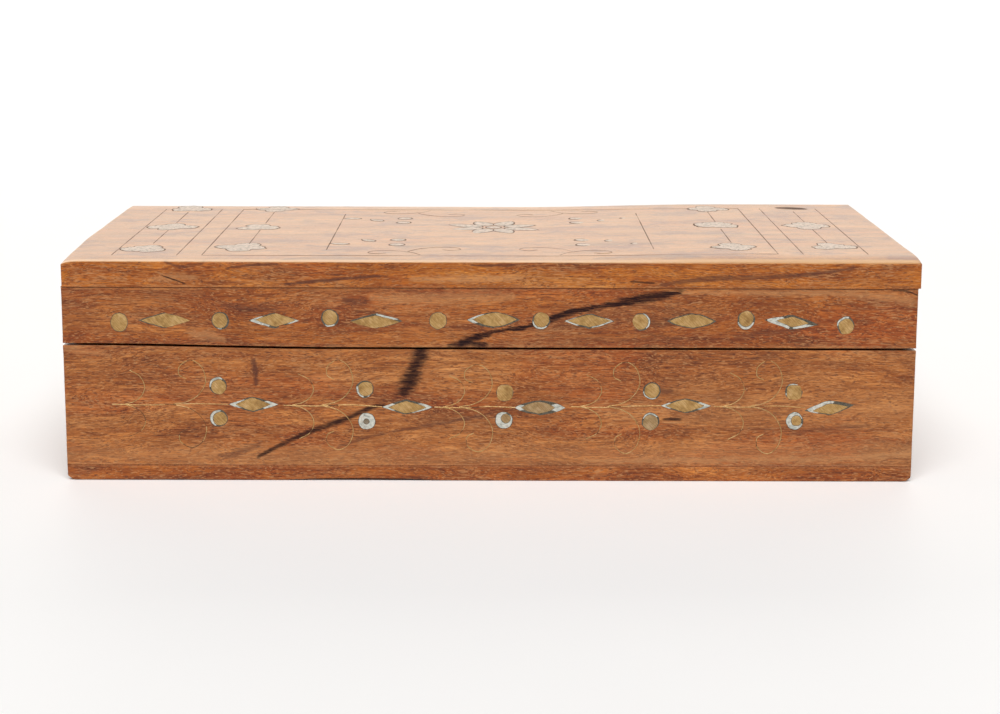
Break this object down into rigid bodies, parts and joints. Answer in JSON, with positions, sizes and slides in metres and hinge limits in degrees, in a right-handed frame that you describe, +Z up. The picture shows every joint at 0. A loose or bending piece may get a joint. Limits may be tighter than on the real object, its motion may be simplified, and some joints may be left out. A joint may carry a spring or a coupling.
{
  "type": "inlaid wooden box",
  "caption": "Low rectangular wooden keepsake box with a hinged lid, brass and shell inlay along the front and on the lid, and brass butt hinges at the back.",
  "frame": {"origin": "middle of the underside of the box", "axes": "+Z up, +X along the length to the right seen from the front, -Y out of the front; the hinges are at +Y"},
  "size_m": [0.255, 0.132, 0.0675],
  "materials": {
    "sheesham": "worn oiled rosewood",
    "brass": "scratched, dull inlay brass",
    "hinge_brass": "satin hinge brass",
    "shell": "polished shell"
  },
  "bodies": {
    "base": {"base_back_board": "sheesham", "base_floor_panel": "sheesham", "base_front_board": "sheesham", "base_front_lower_dot_1": "brass", "base_front_lower_dot_2": "brass", "base_front_lower_dot_3": "brass", "base_front_lower_dot_4": "brass", "base_front_lower_dot_5": "brass", "base_front_lozenge_1": "brass", "base_front_lozenge_2": "brass", "base_front_lozenge_3": "brass", "base_front_lozenge_4": "brass", "base_front_lozenge_5": "brass", "base_front_upper_dot_1": "brass", "base_front_upper_dot_2": "brass", "base_front_upper_dot_3": "brass", "base_front_upper_dot_4": "brass", "base_front_upper_dot_5": "brass", "base_front_wire_scroll_1": "brass", "base_front_wire_scroll_2": "brass", "base_front_wire_scroll_3": "brass", "base_front_wire_scroll_4": "brass", "base_front_wire_scroll_5": "brass", "base_left_board": "sheesham", "base_right_board": "sheesham", "left_hinge_base_leaf": "hinge_brass", "left_hinge_base_screw_1": "hinge_brass", "left_hinge_base_screw_2": "hinge_brass", "left_hinge_pin": "hinge_brass", "right_hinge_base_leaf": "hinge_brass", "right_hinge_base_screw_1": "hinge_brass", "right_hinge_base_screw_2": "hinge_brass", "right_hinge_pin": "hinge_brass"},
    "lid": {"left_hinge_lid_leaf": "hinge_brass", "left_hinge_lid_screw_1": "hinge_brass", "left_hinge_lid_screw_2": "hinge_brass", "lid_back_board": "sheesham", "lid_front_board": "sheesham", "lid_front_dot_1": "brass", "lid_front_dot_2": "brass", "lid_front_dot_3": "brass", "lid_front_dot_4": "brass", "lid_front_dot_5": "brass", "lid_front_dot_6": "brass", "lid_front_dot_7": "brass", "lid_front_dot_8": "brass", "lid_front_lozenge_1": "brass", "lid_front_lozenge_2": "brass", "lid_front_lozenge_3": "brass", "lid_front_lozenge_4": "brass", "lid_front_lozenge_5": "brass", "lid_front_lozenge_6": "brass", "lid_front_lozenge_7": "brass", "lid_left_board": "sheesham", "lid_right_board": "sheesham", "lid_top_panel": "sheesham", "lid_top_rosette_boss": "shell", "right_hinge_lid_leaf": "hinge_brass", "right_hinge_lid_screw_1": "hinge_brass", "right_hinge_lid_screw_2": "hinge_brass"}
  },
  "joints": [
    {"name": "lid_hinge", "type": "hinge", "parent": "base", "child": "lid", "pos_m": [0, 0.0643, 0.041], "axis": [-1, 0, 0], "range_deg": [0, 105]}
  ]
}
